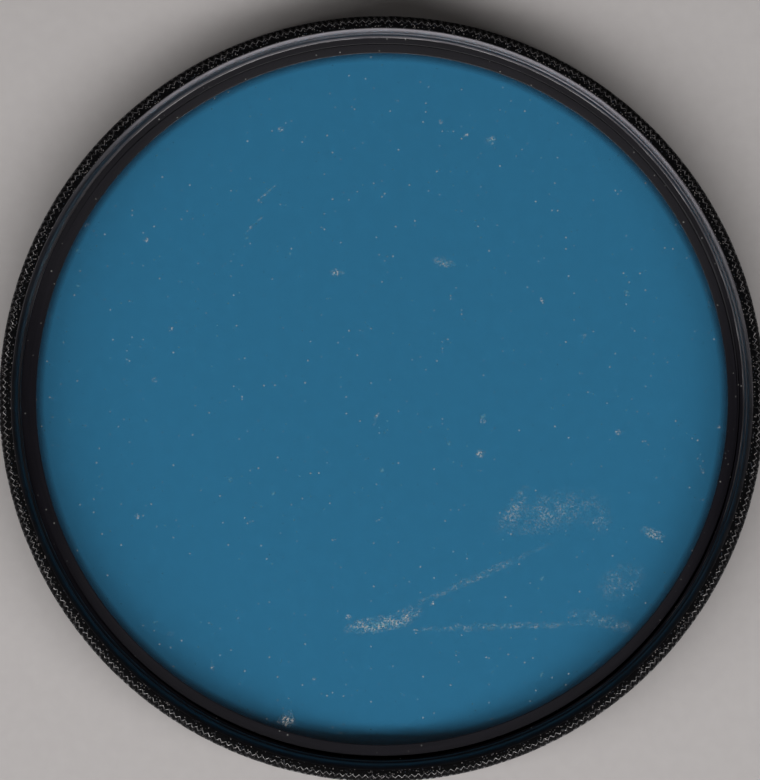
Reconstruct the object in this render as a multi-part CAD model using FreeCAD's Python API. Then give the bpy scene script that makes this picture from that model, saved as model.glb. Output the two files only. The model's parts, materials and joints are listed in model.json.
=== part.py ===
import FreeCAD, Part
import math
import os

# A 62 mm screw-in colour filter: a turned ring with a knurled rim, a front thread for the
# next accessory and a rear thread for the lens, and inside it a dyed glass disc held down
# by a threaded retaining ring on a thin slip ring.
# Millimetres. The origin is on the axis at the rear end of the lens thread, +Z points out
# of the front of the filter, and all threads are right-handed.

# Threads: M62 x 0.75 inside the front and outside the rear, M61 x 0.75 for the retainer
THREAD_PITCH = 0.75
FRONT_MAJOR_R = 31.0
FRONT_MINOR_R = 30.594
LENS_CREST_R = 30.98
LENS_ROOT_R = 30.54
LENS_ROOT_HALF = 0.063
RETAINER_MAJOR_R = 30.5
RETAINER_MINOR_R = 30.094
RETAINER_CLEARANCE = 0.05
GROOVE_ROOT_HALF = THREAD_PITCH / 16
FLANK_ANGLE = math.radians(30)

# Turns of each groove, from inside its relief to past the other end of its wall
FRONT_TURNS = 4
RETAINER_TURNS = 3
LENS_TURNS = 3
RETAINING_RING_TURNS = 5

# The ring's groove starts one turn below the bore's and half a pitch out of step with it,
# so that the ring's ridge runs in the bore's groove
RING_GROOVE_LEAD = 1.5 * THREAD_PITCH

# Heights above the rear end
REAR_LIP_TOP = 0.7
LENS_THREAD_TOP = 1.55
RIM_BOTTOM = 2.3
POCKET_TOP = 2.85
RETAINER_RELIEF_TOP = 3.55
STEP_TOP = 4.55
FRONT_RELIEF_TOP = 5.25
RIM_TOP = 7.2

# Radii of the turned ring
WINDOW_R = 29.35
POCKET_R = 29.85
LENS_RELIEF_R = 30.44
RETAINER_RELIEF_R = 30.56
FRONT_RELIEF_R = 31.06
MOUTH_R = 31.4
LEAD_CHAMFER = 0.45
WINDOW_CHAMFER = 0.2
STEP_CHAMFER = 0.15

# Knurl: straight V teeth, one per degree, chamfered at the front
KNURL_TEETH = 360
KNURL_TIP_R = 32.4
KNURL_VALLEY_R = 32.15
KNURL_END_SCALE = 0.992
KNURL_END_HEIGHT = 0.35

# Plain band behind the knurl
BAND_R = 32.45
BAND_TOP = 3.0
BAND_CHAMFER = 0.2

# Glass disc
GLASS_R = 29.75
GLASS_THICKNESS = 2.0
GLASS_BEVEL = 0.2

# Slip ring and retaining ring, each with a small gap above the piece below
REST_GAP = 0.02
SLIP_RING_INNER_R = 29.4
SLIP_RING_OUTER_R = 29.8
SLIP_RING_HEIGHT = 0.15
RETAINER_INNER_R = 29.3
RETAINER_HEIGHT = 1.58
RETAINER_EDGE_CHAMFER = 0.1

ORIGIN = FreeCAD.Vector(0, 0, 0)
UP = FreeCAD.Vector(0, 0, 1)
FLANK_SLOPE = math.tan(FLANK_ANGLE)
SEWING_TOLERANCE = 1e-5
SAME_RADIUS = 1e-6
INSIDE_OVERSHOOT = 0.05
OUTSIDE_OVERSHOOT = 0.02


def revolved(profile):
    """A solid of revolution about Z from (radius, height) points."""
    points = [FreeCAD.Vector(radius, 0, height) for radius, height in profile]
    face = Part.Face(Part.makePolygon(points + points[:1]))
    return face.revolve(ORIGIN, UP, 360)


def helix_edge(radius, start_height, half_turn):
    """One half turn of a right-hand helix about Z."""
    edge = Part.makeHelix(THREAD_PITCH, THREAD_PITCH / 2, radius)
    edge.rotate(ORIGIN, UP, 180 * half_turn)
    edge.translate(UP * (start_height + THREAD_PITCH / 2 * half_turn))
    return edge.Edges[0]


def closed_solid(faces):
    """The solid that these faces enclose, with its faces turned outwards."""
    shell = Part.makeShell(faces)
    shell.sewShape(SEWING_TOLERANCE)
    solid = Part.makeSolid(Part.Shell(shell.Faces))
    if solid.Volume < 0:
        solid.reverse()
    return solid


def helical_groove(start_height, turns, profile):
    """A groove swept along a right-hand helix about Z, from (radius, offset) points."""
    faces = []
    for half_turn in range(2 * turns):
        edges = [helix_edge(radius, start_height + offset, half_turn) for radius, offset in profile]
        for edge, after in zip(edges, edges[1:] + edges[:1]):
            faces.append(Part.makeRuledSurface(edge, after))
    for height in (start_height, start_height + THREAD_PITCH * turns):
        points = [FreeCAD.Vector(radius, 0, height + offset) for radius, offset in profile]
        faces.append(Part.Face(Part.makePolygon(points + points[:1])))
    return closed_solid(faces)


def v_profile(root_r, root_half, mouth_r):
    """A V groove with a flat root and 30 degree flanks that widens towards its mouth."""
    mouth_half = root_half + abs(mouth_r - root_r) * FLANK_SLOPE
    return [
        (root_r, -root_half),
        (mouth_r, -mouth_half),
        (mouth_r, mouth_half),
        (root_r, root_half),
    ]


def inside_thread(minor_r, major_r, start_height, turns):
    """The groove of an inside thread, a little longer inwards than the wall it cuts."""
    profile = v_profile(major_r, GROOVE_ROOT_HALF, minor_r - INSIDE_OVERSHOOT)
    return helical_groove(start_height, turns, profile)


def outside_thread(root_r, root_half, crest_r, start_height, turns):
    """The groove of an outside thread, a little longer outwards than the wall it cuts."""
    profile = v_profile(root_r, root_half, crest_r + OUTSIDE_OVERSHOOT)
    return helical_groove(start_height, turns, profile)


def turned_core():
    """The ring without its knurl: bore, glass pocket, three threads and their reliefs."""
    mouth_depth = MOUTH_R - FRONT_MINOR_R
    core = revolved([
        (WINDOW_R + WINDOW_CHAMFER, 0),
        (LENS_CREST_R - LEAD_CHAMFER, 0),
        (LENS_CREST_R, LEAD_CHAMFER),
        (LENS_CREST_R, LENS_THREAD_TOP),
        (LENS_RELIEF_R, LENS_THREAD_TOP),
        (LENS_RELIEF_R, RIM_BOTTOM),
        (MOUTH_R, RIM_BOTTOM),
        (MOUTH_R, RIM_TOP),
        (FRONT_MINOR_R, RIM_TOP - mouth_depth),
        (FRONT_MINOR_R, FRONT_RELIEF_TOP),
        (FRONT_RELIEF_R, FRONT_RELIEF_TOP),
        (FRONT_RELIEF_R, STEP_TOP),
        (RETAINER_MINOR_R + STEP_CHAMFER, STEP_TOP),
        (RETAINER_MINOR_R, STEP_TOP - STEP_CHAMFER),
        (RETAINER_MINOR_R, RETAINER_RELIEF_TOP),
        (RETAINER_RELIEF_R, RETAINER_RELIEF_TOP),
        (RETAINER_RELIEF_R, POCKET_TOP),
        (POCKET_R, POCKET_TOP),
        (POCKET_R, REAR_LIP_TOP),
        (WINDOW_R, REAR_LIP_TOP),
        (WINDOW_R, WINDOW_CHAMFER),
    ])
    front = inside_thread(FRONT_MINOR_R, FRONT_MAJOR_R, front_thread_start(), FRONT_TURNS)
    retainer_start = retainer_thread_start()
    retainer = inside_thread(RETAINER_MINOR_R, RETAINER_MAJOR_R, retainer_start, RETAINER_TURNS)
    lens_start = lens_thread_start()
    lens = outside_thread(LENS_ROOT_R, LENS_ROOT_HALF, LENS_CREST_R, lens_start, LENS_TURNS)
    for groove in (front, retainer, lens):
        core = core.cut(groove).Solids[0]
    return core


def front_thread_start():
    """The front groove starts in the middle of its relief and runs out of the mouth."""
    return (STEP_TOP + FRONT_RELIEF_TOP) / 2


def retainer_thread_start():
    """The retaining groove starts in the middle of the relief above the glass pocket."""
    return (POCKET_TOP + RETAINER_RELIEF_TOP) / 2


def lens_thread_start():
    """The lens groove ends in the middle of the relief below the rim."""
    return (LENS_THREAD_TOP + RIM_BOTTOM) / 2 - LENS_TURNS * THREAD_PITCH


def flat_disc(radius, height):
    return Part.Face(Part.Wire(Part.makeCircle(radius, UP * height, UP)))


def knurl_outline(scale, height):
    """The corners of the toothed outline, tips and valleys in turn."""
    corners = []
    for index in range(2 * KNURL_TEETH):
        angle = math.pi * index / KNURL_TEETH
        radius = scale * (KNURL_VALLEY_R if index % 2 else KNURL_TIP_R)
        corners.append(FreeCAD.Vector(radius * math.cos(angle), radius * math.sin(angle), height))
    return corners


def knurl_faces():
    """The toothed front part of the rim, chamfered at its front, with its front face."""
    levels = [
        (1, BAND_TOP),
        (1, RIM_TOP - KNURL_END_HEIGHT),
        (KNURL_END_SCALE, RIM_TOP),
    ]
    outlines = [knurl_outline(scale, height) for scale, height in levels]
    faces = []
    for lower, upper in zip(outlines, outlines[1:]):
        for index in range(2 * KNURL_TEETH):
            after = (index + 1) % (2 * KNURL_TEETH)
            corners = [lower[index], lower[after], upper[after], upper[index], lower[index]]
            faces.append(Part.Face(Part.makePolygon(corners)))
    front = Part.Face(Part.makePolygon(outlines[-1] + outlines[-1][:1]))
    return faces + front.cut(flat_disc(MOUTH_R, RIM_TOP)).Faces


def band_faces():
    """The plain band behind the knurl, with the flat ring that the teeth stand on."""
    profile = [
        (MOUTH_R, RIM_BOTTOM),
        (BAND_R - BAND_CHAMFER, RIM_BOTTOM),
        (BAND_R, RIM_BOTTOM + BAND_CHAMFER),
        (BAND_R, BAND_TOP),
    ]
    outline = Part.makePolygon([FreeCAD.Vector(radius, 0, height) for radius, height in profile])
    toothed = knurl_outline(1, BAND_TOP)
    teeth = Part.Face(Part.makePolygon(toothed + toothed[:1]))
    return outline.revolve(ORIGIN, UP, 360).Faces + flat_disc(BAND_R, BAND_TOP).cut(teeth).Faces


def filter_ring():
    """The turned core with its plain outer wall replaced by the knurl and the band."""
    def is_plain_outer_wall(face):
        surface = face.Surface
        return isinstance(surface, Part.Cylinder) and abs(surface.Radius - MOUTH_R) < SAME_RADIUS

    kept = [face for face in turned_core().Faces if not is_plain_outer_wall(face)]
    return closed_solid(kept + knurl_faces() + band_faces())


def blue_glass():
    """A flat disc with bevelled edges, lying on the rear lip."""
    bottom = REAR_LIP_TOP
    top = bottom + GLASS_THICKNESS
    return revolved([
        (0, bottom),
        (GLASS_R - GLASS_BEVEL, bottom),
        (GLASS_R, bottom + GLASS_BEVEL),
        (GLASS_R, top - GLASS_BEVEL),
        (GLASS_R - GLASS_BEVEL, top),
        (0, top),
    ])


def slip_ring():
    """A thin flat ring between the glass and the retaining ring."""
    bottom = REAR_LIP_TOP + GLASS_THICKNESS + REST_GAP
    top = bottom + SLIP_RING_HEIGHT
    return revolved([
        (SLIP_RING_INNER_R, bottom),
        (SLIP_RING_OUTER_R, bottom),
        (SLIP_RING_OUTER_R, top),
        (SLIP_RING_INNER_R, top),
    ])


def retaining_ring():
    """A plain ring with an outside thread whose ridge runs in the filter ring's groove."""
    bottom = REAR_LIP_TOP + GLASS_THICKNESS + SLIP_RING_HEIGHT + 2 * REST_GAP
    top = bottom + RETAINER_HEIGHT
    crest_r = RETAINER_MAJOR_R - RETAINER_CLEARANCE
    root_r = RETAINER_MINOR_R - RETAINER_CLEARANCE
    chamfer = RETAINER_EDGE_CHAMFER
    blank = revolved([
        (RETAINER_INNER_R, bottom),
        (crest_r - chamfer, bottom),
        (crest_r, bottom + chamfer),
        (crest_r, top - chamfer),
        (crest_r - chamfer, top),
        (RETAINER_INNER_R + chamfer, top),
        (RETAINER_INNER_R, top - chamfer),
    ])
    mating_half = GROOVE_ROOT_HALF + (RETAINER_MAJOR_R - root_r) * FLANK_SLOPE
    flank_gap = RETAINER_CLEARANCE / math.cos(FLANK_ANGLE)
    root_half = THREAD_PITCH / 2 - mating_half + flank_gap
    start = retainer_thread_start() - RING_GROOVE_LEAD
    groove = outside_thread(root_r, root_half, crest_r, start, RETAINING_RING_TURNS)
    return blank.cut(groove).Solids[0]


def main():
    os.makedirs("parts", exist_ok=True)
    pieces = {
        "filter_ring": filter_ring(),
        "blue_glass": blue_glass(),
        "slip_ring": slip_ring(),
        "retaining_ring": retaining_ring(),
    }
    for name, shape in pieces.items():
        box = shape.BoundBox
        print(name, shape.ShapeType, shape.isValid(), round(shape.Volume, 2), len(shape.Faces),
              "z", round(box.ZMin, 3), round(box.ZMax, 3), "x", round(box.XMax, 3))
        shape.exportStep("parts/" + name + ".step")


main()
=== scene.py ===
import json
import math

import bmesh
import bpy
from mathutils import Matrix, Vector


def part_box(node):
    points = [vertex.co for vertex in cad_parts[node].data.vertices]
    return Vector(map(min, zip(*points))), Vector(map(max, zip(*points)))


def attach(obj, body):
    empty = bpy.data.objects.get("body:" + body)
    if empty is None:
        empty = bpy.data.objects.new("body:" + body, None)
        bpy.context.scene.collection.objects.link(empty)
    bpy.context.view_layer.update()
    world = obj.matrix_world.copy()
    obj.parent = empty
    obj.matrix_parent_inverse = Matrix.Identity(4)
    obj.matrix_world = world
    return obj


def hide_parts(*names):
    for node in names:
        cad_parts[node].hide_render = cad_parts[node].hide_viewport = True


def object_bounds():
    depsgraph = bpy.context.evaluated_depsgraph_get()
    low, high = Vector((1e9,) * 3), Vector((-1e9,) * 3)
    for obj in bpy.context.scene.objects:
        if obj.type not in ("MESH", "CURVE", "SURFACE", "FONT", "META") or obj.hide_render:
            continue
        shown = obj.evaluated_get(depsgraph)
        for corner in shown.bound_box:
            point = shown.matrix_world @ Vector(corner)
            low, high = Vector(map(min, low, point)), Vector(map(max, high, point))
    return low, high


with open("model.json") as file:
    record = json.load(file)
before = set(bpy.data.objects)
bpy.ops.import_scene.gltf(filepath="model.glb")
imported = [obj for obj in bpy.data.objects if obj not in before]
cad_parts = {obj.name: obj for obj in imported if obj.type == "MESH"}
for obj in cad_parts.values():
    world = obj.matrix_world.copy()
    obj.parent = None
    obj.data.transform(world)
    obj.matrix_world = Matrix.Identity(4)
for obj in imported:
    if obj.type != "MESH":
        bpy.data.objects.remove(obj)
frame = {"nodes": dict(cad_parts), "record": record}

# A blue glass filter in a knurled black ring, seen from the front and lit as on a flatbed scanner

cad_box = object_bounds()

MM = 0.001
TURN = 2 * math.pi

# Framing: straight down the axis, with the ring nearly filling the picture
RING_DIAMETER = cad_box[1].x - cad_box[0].x
PICTURE_TO_RING = 1.0183
CAMERA_SIDE = -0.17 * MM
CAMERA_UP = 0.76 * MM
CAMERA_HEIGHT = 0.15

# Key lamp: long and narrow, high above and a little towards the picture's lower edge
KEY_HEIGHT = 0.40
KEY_LEAN = 0.35
KEY_SIDE = -0.16
KEY_LENGTH = 1.2
KEY_WIDTH = 0.09
KEY_POWER = 2.88

# Low strip: a long light near the table, seen only in reflections
STRIP_DISTANCE = 0.25
STRIP_HEIGHT = 0.06
STRIP_SIDE = -0.39
STRIP_LENGTH = 1.22
STRIP_TALL = 0.09
STRIP_POWER = 7.0

SKY_STRENGTH = 0.08
SKY_COLOUR = (1.0, 0.98, 0.96, 1)

FLOOR_SIZE = 1.2
FLOOR_DROP = 0.03 * MM

# The turned ring, in millimetres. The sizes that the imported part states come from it.
RIM_R = cad_box[1].x / MM
RIM_TOP = cad_box[1].z / MM
MOUNT_RADII = {m["name"]: m["dims"].get("r_mm") for m in frame["record"]["mounts"]}
PITCH = 0.75
FLANK_ANGLE = math.radians(30)
FLANK_SLOPE = math.tan(FLANK_ANGLE)
ROOT_HALF = PITCH / 16

KNURL_TEETH = 360
KNURL_TIP_R = 32.4
KNURL_DEPTH = 0.25
KNURL_END_SHRINK = 0.26
KNURL_END_HEIGHT = 0.35
BAND_TOP = 3.0
BAND_CHAMFER = 0.2
# Where a tooth's points lie along it, from 0 at one tip to 1 at the next, and each point's height
TOOTH = ((0.0, 0.97), (0.07, 0.86), (0.43, 0.14), (0.5, 0.04), (0.57, 0.14), (0.93, 0.86))
COLUMNS = 2 * KNURL_TEETH

MOUTH_R = 31.4
FRONT_CREST_R = MOUNT_RADII["front_thread"]
FRONT_ROOT_R = 31.0
FRONT_RELIEF_R = 31.06
LENS_CREST_R = MOUNT_RADII["lens_thread"]
LENS_ROOT_R = 30.54
LENS_ROOT_HALF = 0.063
LENS_RELIEF_R = 30.44
RETAINER_CREST_R = 30.094
RETAINER_ROOT_R = 30.5
RETAINER_RELIEF_R = 30.56
POCKET_R = 29.85
WINDOW_R = 29.35

REAR_LIP_TOP = 0.7
LENS_THREAD_TOP = 1.55
RIM_BOTTOM = 2.3
POCKET_TOP = 2.85
RETAINER_RELIEF_TOP = 3.55
STEP_TOP = 4.55
FRONT_RELIEF_TOP = 5.25

# The height at which each thread's groove passes the +X side, one groove of many
LENS_START = (LENS_THREAD_TOP + RIM_BOTTOM) / 2
RETAINER_START = (POCKET_TOP + RETAINER_RELIEF_TOP) / 2
FRONT_START = (STEP_TOP + FRONT_RELIEF_TOP) / 2

LEAD_CHAMFER = 0.45
LEAD_SLOPE = 0.4
MOUTH_CHAMFER = 0.33
FRONT_LEAD = 0.55
WINDOW_CHAMFER = 0.2
STEP_CHAMFER = 0.05

# The retaining ring
RETAINER_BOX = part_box("retaining_ring")
RETAINER_BOTTOM = RETAINER_BOX[0].z / MM
RETAINER_TOP = RETAINER_BOX[1].z / MM
RETAINER_INNER_R = 29.3
RETAINER_OUTER_R = 30.45
RETAINER_CLEARANCE = 0.05
RETAINER_CHAMFER = 0.1

EDGE = 0.05
SHARP_ANGLE = math.radians(28)

# Tool marks: the radius at which their length is true, and how much height counts as radius
TOOL_MARK_R = 30
TOOL_MARK_LEAN = 0.7


class Skin:
    """Loops of points round the axis, and the faces between them, in millimetres."""

    def __init__(self):
        self.points = []
        self.wear = []
        self.faces = []
        self.finish = 0

    def point(self, share, radius, height, wear=0.0):
        angle = TURN * share
        self.points.append((radius * math.cos(angle), radius * math.sin(angle), height))
        self.wear.append(wear)
        return len(self.points) - 1

    def loop(self, radius, height, wear=0.0):
        return [self.point(column / COLUMNS, radius, height, wear) for column in range(COLUMNS)]

    def face(self, corners):
        """A face from these corners, without the repeated ones."""
        kept = [corner for index, corner in enumerate(corners) if corner != corners[index - 1]]
        if len(kept) > 2:
            self.faces.append((kept, self.finish))

    def band(self, first, second):
        """Faces between two loops of as many points."""
        for index in range(len(first)):
            after = (index + 1) % len(first)
            self.face([first[index], first[after], second[after], second[index]])

    def gather(self, fine, coarse):
        """Faces between a fine loop and a coarse one that divides it."""
        share = len(fine) // len(coarse)
        for index, corner in enumerate(coarse):
            after = coarse[(index + 1) % len(coarse)]
            edge = [fine[(share * index + step) % len(fine)] for step in range(share + 1)]
            self.face(edge + [after, corner])

    def path(self, first, corners, last=None):
        """Bands from a loop through (radius, height, wear) circles, and on to the last loop."""
        for radius, height, wear in corners:
            following = self.loop(radius, height, wear)
            self.band(first, following)
            first = following
        if last:
            self.band(first, last)
        return first

    def threaded(self, low, high, start, phases, radius_at, wear_at):
        """A wall between two heights whose rows climb with the thread. Returns its end loops."""
        rows = []
        base = start + PITCH * (math.floor((low - start) / PITCH) - 1)
        turns = math.ceil((high - base) / PITCH) + 1
        steps = [base + PITCH * (turn + phase) for turn in range(turns) for phase in phases]
        ends = [[], []]
        for column in range(COLUMNS):
            share = column / COLUMNS
            bottom, top = (self.point(share, radius_at(share, z), z, wear_at(share, z))
                           for z in (low, high))
            ends[0].append(bottom)
            ends[1].append(top)
            row = []
            for step in steps:
                z = step + PITCH * share
                if z <= low:
                    row.append(bottom)
                elif z >= high:
                    row.append(top)
                else:
                    row.append(self.point(share, radius_at(share, z), z, wear_at(share, z)))
            rows.append(row)
        rows.append(rows[0][len(phases):] + ends[1][:1] * len(phases))
        for near, far in zip(rows, rows[1:]):
            for index in range(len(steps) - 1):
                self.face([near[index], far[index], far[index + 1], near[index + 1]])
        return ends

    def make(self, name, body, node, *materials):
        """The object that rides on this body and stands for this CAD node."""
        mesh = bpy.data.meshes.new(name)
        shape = bmesh.new()
        layer = shape.verts.layers.float.new("wear")
        corners = []
        for place, wear in zip(self.points, self.wear):
            corner = shape.verts.new([MM * value for value in place])
            corner[layer] = wear
            corners.append(corner)
        for face, finish in self.faces:
            made = shape.faces.new([corners[index] for index in face])
            made.smooth = True
            made.material_index = finish
        bmesh.ops.recalc_face_normals(shape, faces=shape.faces)
        for edge in shape.edges:
            edge.smooth = edge.calc_face_angle(math.pi) < SHARP_ANGLE
        shape.to_mesh(mesh)
        shape.free()
        for material in materials:
            mesh.materials.append(material)
        piece = bpy.data.objects.new(name, mesh)
        bpy.context.scene.collection.objects.link(piece)
        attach(piece, body)
        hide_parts(node)
        return piece


def groove_radius(share, height, start, root_half, root_r, crest_r):
    """The radius of a V thread's surface at this share of a turn and height."""
    phase = ((height - start) / PITCH - share) % 1
    away = PITCH * min(phase, 1 - phase)
    up = (away - root_half) / (abs(crest_r - root_r) * FLANK_SLOPE)
    return root_r + (crest_r - root_r) * min(max(up, 0), 1)


def phases_of(root_half, depth):
    """Rows that follow a V thread's corners, with a few between them."""
    root = root_half / PITCH
    crest = root + depth * FLANK_SLOPE / PITCH
    half = [root, root + (crest - root) * 0.35, root + (crest - root) * 0.7, crest]
    half += [crest + (0.5 - crest) * 0.35, 0.5 - (0.5 - crest) * 0.1]
    return half + [1 - phase for phase in reversed(half)]


def toothed_loop(skin, tip_r, depth, height, flat_wear, tip_wear):
    """The toothed outline at this height, or a circle with as many points at no depth."""
    loop = []
    for tooth in range(KNURL_TEETH):
        for place, rise in TOOTH:
            wear = flat_wear + (tip_wear - flat_wear) * rise
            share = (tooth + place) / KNURL_TEETH
            loop.append(skin.point(share, tip_r - depth * (1 - rise), height, wear))
    return loop


def knurl(skin):
    """The toothed outside of the rim and the plain band behind it. Returns its end loops."""
    # (radius, height, wear)
    band = (
        (RIM_R - BAND_CHAMFER, RIM_BOTTOM, 0.1),
        (RIM_R - 0.2 * BAND_CHAMFER, RIM_BOTTOM + 0.8 * BAND_CHAMFER, 0.4),
        (RIM_R, RIM_BOTTOM + 1.2 * BAND_CHAMFER, 0.1),
        (RIM_R, BAND_TOP - EDGE, 0.1),
        (RIM_R - 0.3 * EDGE, BAND_TOP - 0.2 * EDGE, 0.75),
    )
    loops = [toothed_loop(skin, radius, 0, z, wear, wear) for radius, z, wear in band]
    # (how far the teeth have shrunk, height, wear in the valleys, wear on the tips)
    teeth = (
        (0, BAND_TOP, 0.3, 0.4),
        (0, RIM_TOP - KNURL_END_HEIGHT - 0.8 * EDGE, 0, 0.55),
        (0.4 * EDGE, RIM_TOP - KNURL_END_HEIGHT + 0.6 * EDGE, 0, 0.3),
        (KNURL_END_SHRINK - 0.6 * EDGE, RIM_TOP - EDGE, 0.4, 0.45),
        (KNURL_END_SHRINK, RIM_TOP - 0.24 * EDGE, 1.0, 1.0),
        (KNURL_END_SHRINK + 0.6 * EDGE, RIM_TOP, 0.25, 0.3),
    )
    loops += [toothed_loop(skin, KNURL_TIP_R - shrink, KNURL_DEPTH, z, flat, tip)
              for shrink, z, flat, tip in teeth]
    for first, second in zip(loops, loops[1:]):
        skin.band(first, second)
    return loops[0], loops[-1]


def filter_ring(blasted, turned, grey):
    """The whole turned ring, threads and all, blasted outside and bright from the tool inside."""
    skin = Skin()
    knurl_bottom, knurl_top = knurl(skin)

    front_top_z = RIM_TOP - FRONT_LEAD

    def front_radius(share, z):
        thread = groove_radius(share, z, FRONT_START, ROOT_HALF, FRONT_ROOT_R, FRONT_CREST_R)
        return max(thread, FRONT_ROOT_R - (front_top_z - z) * LEAD_SLOPE)

    def retainer_radius(share, z):
        thread = groove_radius(share, z, RETAINER_START, ROOT_HALF, RETAINER_ROOT_R,
                               RETAINER_CREST_R)
        return max(thread, RETAINER_CREST_R + STEP_CHAMFER - (STEP_TOP - z))

    def lens_radius(share, z):
        thread = groove_radius(share, z, LENS_START, LENS_ROOT_HALF, LENS_ROOT_R, LENS_CREST_R)
        return min(thread, LENS_CREST_R - LEAD_CHAMFER + z)

    def crest_wear(crest_r, root_r, radius_at):
        def wear(share, z):
            return min(max((radius_at(share, z) - root_r) / (crest_r - root_r), 0), 1) ** 3
        return wear

    face = skin.loop(MOUTH_R + 2 * EDGE, RIM_TOP)
    skin.gather(knurl_top, face)
    face = skin.path(face, [(MOUTH_R + EDGE, RIM_TOP, 0)])

    skin.finish = 1
    front_bottom, front_top = skin.threaded(
        FRONT_RELIEF_TOP, front_top_z, FRONT_START,
        phases_of(ROOT_HALF, FRONT_ROOT_R - FRONT_CREST_R), front_radius,
        crest_wear(FRONT_CREST_R, FRONT_ROOT_R, front_radius))
    skin.path(face, [
        (MOUTH_R + 0.3 * EDGE, RIM_TOP - 0.2 * EDGE, 0.2),
        (MOUTH_R - 0.6 * EDGE, RIM_TOP - 0.9 * EDGE, 0.2),
        (MOUTH_R - 2 * EDGE, RIM_TOP - 2 * EDGE, 0.1),
        (MOUTH_R - MOUTH_CHAMFER, RIM_TOP - MOUTH_CHAMFER, 0),
    ], front_top)

    skin.finish = 2
    step_bottom, step_top = skin.threaded(
        RETAINER_RELIEF_TOP, STEP_TOP, RETAINER_START,
        phases_of(ROOT_HALF, RETAINER_ROOT_R - RETAINER_CREST_R)[::2], retainer_radius,
        crest_wear(RETAINER_CREST_R, RETAINER_ROOT_R, retainer_radius))
    lens_bottom, lens_top = skin.threaded(
        0, LENS_THREAD_TOP, LENS_START,
        phases_of(LENS_ROOT_HALF, LENS_CREST_R - LENS_ROOT_R)[::2], lens_radius,
        crest_wear(LENS_CREST_R, LENS_ROOT_R, lens_radius))

    skin.path(front_bottom, [
        (FRONT_RELIEF_R, FRONT_RELIEF_TOP, 0),
        (FRONT_RELIEF_R, STEP_TOP, 0),
        (RETAINER_CREST_R + STEP_CHAMFER + 2 * EDGE, STEP_TOP, 0),
    ], step_top)
    skin.path(step_bottom, [
        (RETAINER_RELIEF_R, RETAINER_RELIEF_TOP, 0),
        (RETAINER_RELIEF_R, POCKET_TOP, 0),
        (POCKET_R, POCKET_TOP, 0),
        (POCKET_R, REAR_LIP_TOP, 0),
        (WINDOW_R + EDGE, REAR_LIP_TOP, 0),
        (WINDOW_R, REAR_LIP_TOP - EDGE, 0.5),
        (WINDOW_R, WINDOW_CHAMFER + EDGE, 0.2),
        (WINDOW_R + EDGE, WINDOW_CHAMFER - EDGE, 0.5),
        (WINDOW_R + WINDOW_CHAMFER - EDGE, EDGE, 0.5),
        (WINDOW_R + WINDOW_CHAMFER + EDGE, 0, 0.5),
        (LENS_CREST_R - LEAD_CHAMFER - EDGE, 0, 0.3),
    ], lens_bottom)
    shoulder = skin.path(lens_top, [
        (LENS_RELIEF_R, LENS_THREAD_TOP, 0),
        (LENS_RELIEF_R, RIM_BOTTOM, 0),
    ])
    skin.finish = 0
    skin.gather(knurl_bottom, skin.path(shoulder, [(MOUTH_R, RIM_BOTTOM, 0)]))
    piece = skin.make("knurled_filter_ring", "filter", "filter_ring", blasted, turned, grey)


def retaining_ring(material):
    """The plain ring over the glass, with its outside thread."""
    skin = Skin()
    crest_r = RETAINER_OUTER_R
    root_r = RETAINER_CREST_R - RETAINER_CLEARANCE
    mating_half = ROOT_HALF + (RETAINER_ROOT_R - root_r) * FLANK_SLOPE
    root_half = PITCH / 2 - mating_half + RETAINER_CLEARANCE / math.cos(FLANK_ANGLE)
    start = RETAINER_START - PITCH / 2

    def radius_at(share, z):
        thread = groove_radius(share, z, start, root_half, root_r, crest_r)
        rim = crest_r - RETAINER_CHAMFER + min(z - RETAINER_BOTTOM, RETAINER_TOP - z)
        return min(thread, rim)

    bottom, top = skin.threaded(
        RETAINER_BOTTOM, RETAINER_TOP, start, phases_of(root_half, crest_r - root_r)[::2],
        radius_at, lambda share, z: 0)
    inner = RETAINER_INNER_R
    skin.path(top, [
        (crest_r - 3 * RETAINER_CHAMFER - EDGE, RETAINER_TOP, 0),
        (inner + RETAINER_CHAMFER + EDGE, RETAINER_TOP, 0),
        (inner + 0.65 * RETAINER_CHAMFER, RETAINER_TOP - 0.15 * RETAINER_CHAMFER, 0.5),
        (inner + 0.15 * RETAINER_CHAMFER, RETAINER_TOP - 0.65 * RETAINER_CHAMFER, 0.5),
        (inner, RETAINER_TOP - RETAINER_CHAMFER - EDGE, 0),
        (inner, RETAINER_BOTTOM + EDGE, 0),
        (inner + EDGE, RETAINER_BOTTOM, 0),
    ], bottom)
    piece = skin.make("turned_retaining_ring", "retainer", "retaining_ring", material)


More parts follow.
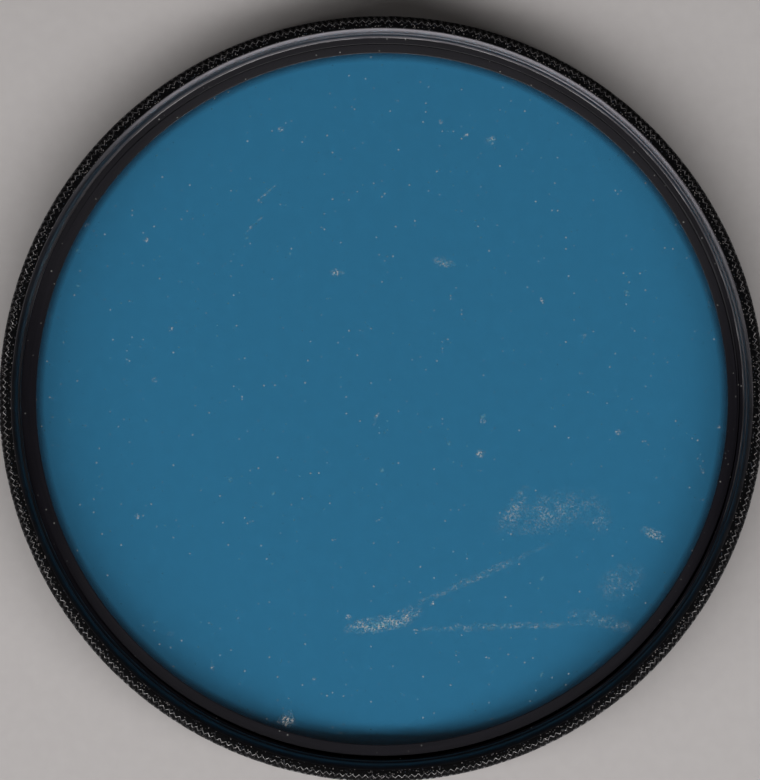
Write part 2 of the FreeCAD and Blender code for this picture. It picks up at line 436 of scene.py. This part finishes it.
class Nodes:
    """A short way to build a material's node tree. An input goes by its label, or by i and its place."""

    def __init__(self, name):
        self.material = bpy.data.materials.new(name)
        self.material.use_nodes = True
        self.tree = self.material.node_tree
        self.tree.nodes.clear()

    def add(self, kind, settings=None, **inputs):
        node = self.tree.nodes.new("ShaderNode" + kind)
        for name, value in (settings or {}).items():
            setattr(node, name, value)
        for name, value in inputs.items():
            self.put(node, int(name[1:]) if name[0] == "i" and name[1:].isdigit() else name, value)
        return node

    def put(self, node, name, value):
        socket = node.inputs[name if isinstance(name, int) else name.replace("_", " ")]
        if isinstance(value, bpy.types.NodeSocket):
            self.tree.links.new(value, socket)
        else:
            socket.default_value = value

    def math(self, operation, first, second=0.0, clamp=False):
        node = self.add("Math", {"operation": operation, "use_clamp": clamp}, i0=first, i1=second)
        return node.outputs[0]

    def ramp(self, value, low, high, to_low=0.0, to_high=1.0):
        node = self.add("MapRange", {"interpolation_type": "SMOOTHSTEP"}, i0=value, i1=low, i2=high,
                        i3=to_low, i4=to_high)
        return node.outputs[0]

    def mix(self, factor, first, second):
        node = self.add("Mix", {"data_type": "RGBA"})
        for index, value in ((0, factor), (6, first), (7, second)):
            self.put(node, index, value)
        return node.outputs[2]

    def place(self):
        return self.add("TexCoord").outputs["Object"]

    def noise(self, coordinates, scale, detail=2.0, roughness=0.5):
        node = self.add("TexNoise", None, Vector=coordinates, Scale=scale, Detail=detail,
                        Roughness=roughness)
        return node.outputs[0]

    def specks(self, coordinates, scale, share):
        """Small round spots in this share of a cell pattern's cells, and each cell's own tone."""
        cells = self.add("TexVoronoi", None, Vector=coordinates, Scale=scale)
        apart = self.add("SeparateColor", None, i0=cells.outputs["Color"])
        chosen = self.math("GREATER_THAN", apart.outputs[0], 1 - share)
        disc = self.ramp(cells.outputs["Distance"], 0.45, 0.15)
        return self.math("MULTIPLY", chosen, disc), apart.outputs[1]

    def apart(self, vector):
        return self.add("SeparateXYZ", None, Vector=vector).outputs

    def from_axis(self, x, y):
        """How far a point lies from the Z axis."""
        squares = self.math("ADD", self.math("MULTIPLY", x, x), self.math("MULTIPLY", y, y))
        return self.math("SQRT", squares)

    def round_axis(self, place, across, along):
        """Coordinates that run round Z: noise in them is fine across and long along the turn."""
        x, y, z = self.apart(place)
        angle = self.math("ARCTAN2", y, x)
        slope = self.math("ADD", self.math("MULTIPLY", self.from_axis(x, y), across),
                          self.math("MULTIPLY", z, TOOL_MARK_LEAN * across))
        turn = self.math("MULTIPLY", angle, along * TOOL_MARK_R * MM)
        return self.add("CombineXYZ", None, X=slope, Y=turn).outputs[0]

    def shaken(self, place, scale, reach):
        """Coordinates with their edges frayed by noise."""
        noise = self.add("TexNoise", None, Vector=place, Scale=scale, Detail=2.0)
        centred = self.add("VectorMath", {"operation": "SUBTRACT"}, i0=noise.outputs["Color"],
                           i1=(0.5, 0.5, 0.5))
        moved = self.add("VectorMath", {"operation": "SCALE"}, i0=centred.outputs[0], Scale=reach)
        shaken = self.add("VectorMath", {"operation": "ADD"}, i0=place, i1=moved.outputs[0])
        return shaken.outputs[0]

    def marks(self, place, marks):
        """The strongest of these soft ovals at each point."""
        strongest = 0.0
        for x, y, half_length, half_width, direction, strength in marks:
            local = self.add("Mapping", {"vector_type": "TEXTURE"}, Vector=place,
                             Location=(x * MM, y * MM, 0),
                             Rotation=(0, 0, math.radians(direction)),
                             Scale=(half_length * MM, half_width * MM, 1))
            oval = self.add("TexGradient", {"gradient_type": "SPHERICAL"},
                            Vector=local.outputs[0])
            felt = self.math("MULTIPLY", oval.outputs["Fac"], strength)
            strongest = self.math("MAXIMUM", felt, strongest)
        return strongest

    def bump(self, shader, height, strength, depth):
        """Relief of this depth in millimetres."""
        bump = self.add("Bump", None, Height=height, Strength=strength, Distance=depth * MM)
        self.put(shader, "Normal", bump.outputs[0])

    def finish(self, surface):
        self.add("OutputMaterial", None, Surface=surface)
        return self.material


def floor_material():
    """Pale warm grey paper."""
    nodes = Nodes("floor_paper")
    grain = nodes.noise(nodes.place(), scale=900.0, detail=3.0)
    colour = nodes.mix(grain, (0.49, 0.462, 0.456, 1), (0.535, 0.508, 0.50, 1))
    shader = nodes.add("BsdfPrincipled", None, Base_Color=colour, Roughness=0.9)
    shader.inputs["Specular IOR Level"].default_value = 0.0
    return nodes.finish(shader.outputs[0])


def blasted_black():
    """Anodised black over a blasted surface, with painted glints (highlights painted into the colour as
    bright specks), and bare metal where the edges are worn.
    """
    nodes = Nodes("blasted_black")
    place = nodes.place()
    worn = nodes.add("Attribute", {"attribute_name": "wear"}).outputs["Fac"]
    patchy = nodes.ramp(nodes.noise(place, scale=3500.0, detail=3.0), 0.4, 0.62, 0.1, 1.0)
    bare = nodes.math("MULTIPLY", nodes.ramp(worn, 0.5, 0.9), patchy)
    rubbed = nodes.math("MULTIPLY", nodes.ramp(worn, 0.15, 0.6), 0.45)
    # Painted highlight: bright specks in the base colour stand in for glints of the blasted surface
    # catching the light.
    spots, tone = nodes.specks(place, scale=7500.0, share=0.36)
    anodised = (0.0012, 0.0012, 0.0015, 1)
    painted_glint = nodes.mix(tone, (0.03, 0.04, 0.06, 1), (0.30, 0.27, 0.26, 1))
    rubbed_grey = (0.045, 0.043, 0.045, 1)
    bare_metal = (0.44, 0.425, 0.43, 1)
    colour = nodes.mix(nodes.math("MULTIPLY", spots, 0.8), anodised, painted_glint)
    colour = nodes.mix(rubbed, colour, rubbed_grey)
    colour = nodes.mix(bare, colour, bare_metal)
    shader = nodes.add("BsdfPrincipled", None, Base_Color=colour,
                       Roughness=nodes.ramp(bare, 0.0, 1.0, 0.6, 0.35))
    shader.inputs["Specular IOR Level"].default_value = 0.02
    nodes.put(shader, "Metallic", bare)
    nodes.bump(shader, nodes.noise(place, scale=9000.0), strength=0.5, depth=0.02)
    return nodes.finish(shader.outputs[0])


def turned_black():
    """Thin black anodising over tool marks that run round the bore."""
    nodes = Nodes("turned_black")
    turned = nodes.round_axis(nodes.place(), across=6000.0, along=300.0)
    marks = nodes.noise(turned, scale=1.0, detail=3.0)
    worn = nodes.add("Attribute", {"attribute_name": "wear"}).outputs["Fac"]
    bare = nodes.math("MULTIPLY", nodes.ramp(worn, 0.6, 1.0), nodes.ramp(marks, 0.4, 0.65))
    colour = nodes.mix(marks, (0.017, 0.016, 0.018, 1), (0.036, 0.034, 0.037, 1))
    thin_anodising = (0.12, 0.118, 0.12, 1)
    colour = nodes.mix(bare, colour, thin_anodising)
    shader = nodes.add("BsdfPrincipled", None, Base_Color=colour, Metallic=1.0,
                       Roughness=nodes.ramp(marks, 0.3, 0.7, 0.34, 0.44))
    nodes.bump(shader, marks, strength=0.3, depth=0.01)
    return nodes.finish(shader.outputs[0])


def grey_metal():
    """Dark grey turned metal: its tool marks spread the light outwards and inwards only."""
    nodes = Nodes("grey_metal")
    place = nodes.place()
    turned = nodes.round_axis(place, across=4000.0, along=150.0)
    marks = nodes.noise(turned, scale=1.0, detail=3.0)
    grain = nodes.noise(place, scale=5000.0, detail=3.0)
    colour = nodes.mix(marks, (0.004, 0.0036, 0.005, 1), (0.011, 0.0098, 0.014, 1))
    spots, _ = nodes.specks(place, scale=4500.0, share=0.02)
    dusty = nodes.math("MULTIPLY", spots, nodes.ramp(grain, 0.35, 0.6))
    dust = (0.20, 0.20, 0.19, 1)
    colour = nodes.mix(dusty, colour, dust)
    shader = nodes.add("BsdfPrincipled", None, Base_Color=colour,
                       Roughness=nodes.ramp(grain, 0.3, 0.7, 0.42, 0.47))
    shader.inputs["Specular IOR Level"].default_value = 0.10
    shader.inputs["Anisotropic"].default_value = 0.93
    shader.inputs["Anisotropic Rotation"].default_value = 0.25
    round_z = nodes.add("Tangent", {"direction_type": "RADIAL", "axis": "Z"})
    nodes.put(shader, "Tangent", round_z.outputs[0])
    nodes.bump(shader, marks, strength=0.25, depth=0.01)
    return nodes.finish(shader.outputs[0])


def black_plastic():
    """Plain matte black."""
    nodes = Nodes("black_plastic")
    grain = nodes.noise(nodes.place(), scale=2000.0, detail=3.0)
    colour = nodes.mix(grain, (0.008, 0.008, 0.008, 1), (0.016, 0.016, 0.016, 1))
    shader = nodes.add("BsdfPrincipled", None, Base_Color=colour, Roughness=0.7)
    return nodes.finish(shader.outputs[0])


# Marks on the front of the glass, in millimetres from the axis:
# (x, y, half length, half width, direction in degrees, strength)
MARKS = (
    # a rubbed patch with two faint streaks that fan out from it
    (-0.3, -19.1, 3.2, 0.75, 8, 1.5),
    (2.0, -18.4, 1.6, 0.7, 22, 1.0),
    (7.8, -15.2, 8.0, 0.4, 24, 0.5),
    (10.0, -19.3, 9.5, 0.36, 2, 0.6),
    # scuffs near the edge
    (14.2, -9.6, 5.4, 1.9, 12, 0.40),
    (11.2, -9.4, 2.6, 0.9, 60, 0.6),
    (18.4, -10.0, 1.6, 1.3, 80, 0.36),
    (20.2, -15.4, 2.6, 1.6, 30, 0.32),
    (18.8, -18.8, 3.4, 0.7, -14, 0.55),
    # flecks of dirt, short scratches and dried drops
    (5.3, 11.6, 1.1, 0.45, -8, 1.0),
    (-3.8, 10.7, 0.7, 0.3, 0, 1.5),
    (9.2, 21.9, 0.6, 0.4, 0, 1.2),
    (8.3, -4.6, 0.6, 0.45, 0, 1.3),
    (-0.5, -1.5, 0.9, 0.22, 68, 0.8),
    (-9.9, 17.3, 1.7, 0.12, 42, 0.9),
    (-10.8, 14.8, 1.3, 0.11, 40, 0.8),
    (-8.0, -27.2, 0.8, 0.8, 60, 1.5),
    (22.9, -11.4, 1.2, 0.5, -20, 1.0),
)


# What one surface of the glass lets through, clean and, near the edge, darkened as painted shade for the
# ring's shadow
GLASS_TINT = (0.478, 0.772, 0.902, 1)
EDGE_SHADE_TINT = (0.16, 0.20, 0.25, 1)
EDGE_SHADE_START_R = 28.5
EDGE_SHADE_STRENGTH = 0.6
DUST_STRENGTH = 0.8
# Reflection head on, and how fast it rises towards a grazing look
HEAD_ON_MIRROR = 0.04
GRAZING_POWER = 5.0


def blue_glass():
    """Dyed glass that colours what lies behind it, with dust and rubbed marks on its front, and painted
    shade towards its edge.
    """
    nodes = Nodes("blue_glass")
    place = nodes.place()
    normal = nodes.add("NewGeometry").outputs["Normal"]
    front = nodes.ramp(nodes.apart(normal)[2], 0.5, 0.9)
    fine = nodes.noise(place, scale=5200.0, detail=3.0, roughness=0.7)
    patchy = nodes.ramp(nodes.noise(place, scale=1700.0), 0.42, 0.58, 0.12, 1.15)
    broken = nodes.math("MULTIPLY", nodes.ramp(fine, 0.47, 0.6), patchy)
    frayed = nodes.shaken(place, scale=1100.0, reach=0.6 * MM)
    marks = nodes.math("MULTIPLY", nodes.marks(frayed, MARKS), broken, clamp=True)
    dots, tone = nodes.specks(place, scale=4300.0, share=0.022)
    dots = nodes.math("MULTIPLY", dots, nodes.ramp(tone, 0.0, 1.0, 0.12, 0.65))
    flakes, _ = nodes.specks(place, scale=1400.0, share=0.005)
    flakes = nodes.math("MULTIPLY", flakes, nodes.ramp(fine, 0.5, 0.6))
    dust = nodes.math("MAXIMUM", marks, nodes.math("MAXIMUM", dots, flakes))
    dust = nodes.math("MULTIPLY", nodes.math("MULTIPLY", dust, DUST_STRENGTH), front)
    x, y, _ = nodes.apart(place)
    # Painted shade: the front darkens towards the ring's edge, standing in for the ring's shadow there.
    edge = nodes.ramp(nodes.from_axis(x, y), EDGE_SHADE_START_R * MM, WINDOW_R * MM, 0, EDGE_SHADE_STRENGTH)
    body = nodes.mix(nodes.math("MULTIPLY", edge, front), GLASS_TINT, EDGE_SHADE_TINT)
    clear = nodes.add("BsdfTransparent", None, Color=body)
    gloss = nodes.add("BsdfGlossy", None, Color=(1, 1, 1, 1), Roughness=0.03)
    facing = nodes.add("LayerWeight", None, Blend=0.5).outputs["Facing"]
    slant = nodes.math("POWER", facing, GRAZING_POWER)
    mirror = nodes.math("ADD", nodes.math("MULTIPLY", slant, 1 - HEAD_ON_MIRROR), HEAD_ON_MIRROR)
    glass = nodes.add("MixShader", None, i0=mirror, i1=clear.outputs[0], i2=gloss.outputs[0])
    powder = nodes.add("BsdfDiffuse", None, Color=(0.50, 0.48, 0.45, 1))
    dusty = nodes.add("MixShader", None, i0=dust, i1=glass.outputs[0], i2=powder.outputs[0])
    return nodes.finish(dusty.outputs[0])


def make_camera():
    data = bpy.data.cameras.new("camera")
    data.type = "ORTHO"
    data.ortho_scale = RING_DIAMETER * PICTURE_TO_RING
    camera = bpy.data.objects.new("camera", data)
    camera.location = (CAMERA_SIDE, CAMERA_UP, CAMERA_HEIGHT)
    bpy.context.scene.collection.objects.link(camera)
    bpy.context.scene.camera = camera


def area_light(name, place, tilt, length, width, power):
    """A rectangular light that leans from straight down by this angle towards +Y."""
    data = bpy.data.lights.new(name, "AREA")
    data.shape = "RECTANGLE"
    data.size = length
    data.size_y = width
    data.energy = power
    light = bpy.data.objects.new(name, data)
    light.location = place
    light.rotation_euler = (tilt, 0, 0)
    bpy.context.scene.collection.objects.link(light)
    return light


def make_lights():
    area_light("key_lamp", (KEY_SIDE, -KEY_HEIGHT * KEY_LEAN, KEY_HEIGHT), math.atan(KEY_LEAN),
               KEY_LENGTH, KEY_WIDTH, KEY_POWER)
    strip = area_light("low_strip", (STRIP_SIDE, -STRIP_DISTANCE, STRIP_HEIGHT),
                       math.atan(STRIP_DISTANCE / STRIP_HEIGHT),
                       STRIP_LENGTH, STRIP_TALL, STRIP_POWER)
    strip.visible_diffuse = False
    world = bpy.data.worlds.new("room")
    world.use_nodes = True
    background = world.node_tree.nodes["Background"]
    background.inputs["Strength"].default_value = SKY_STRENGTH
    background.inputs["Color"].default_value = SKY_COLOUR
    bpy.context.scene.world = world


def make_floor():
    half = FLOOR_SIZE / 2
    mesh = bpy.data.meshes.new("floor")
    corners = [(-half, -half, 0), (half, -half, 0), (half, half, 0), (-half, half, 0)]
    mesh.from_pydata(corners, [], [(0, 1, 2, 3)])
    mesh.materials.append(floor_material())
    floor = bpy.data.objects.new("floor", mesh)
    floor.location.z = cad_box[0].z - FLOOR_DROP
    bpy.context.scene.collection.objects.link(floor)


def paint(name, material):
    """Puts one material in every slot of a CAD node."""
    mesh = frame["nodes"][name].data
    if not mesh.materials:
        mesh.materials.append(material)
    for index in range(len(mesh.materials)):
        mesh.materials[index] = material


bpy.context.scene.view_settings.view_transform = "Standard"
make_camera()
make_lights()
make_floor()
dark_grey = grey_metal()
filter_ring(blasted_black(), turned_black(), dark_grey)
retaining_ring(dark_grey)
paint("slip_ring", black_plastic())
paint("blue_glass", blue_glass())
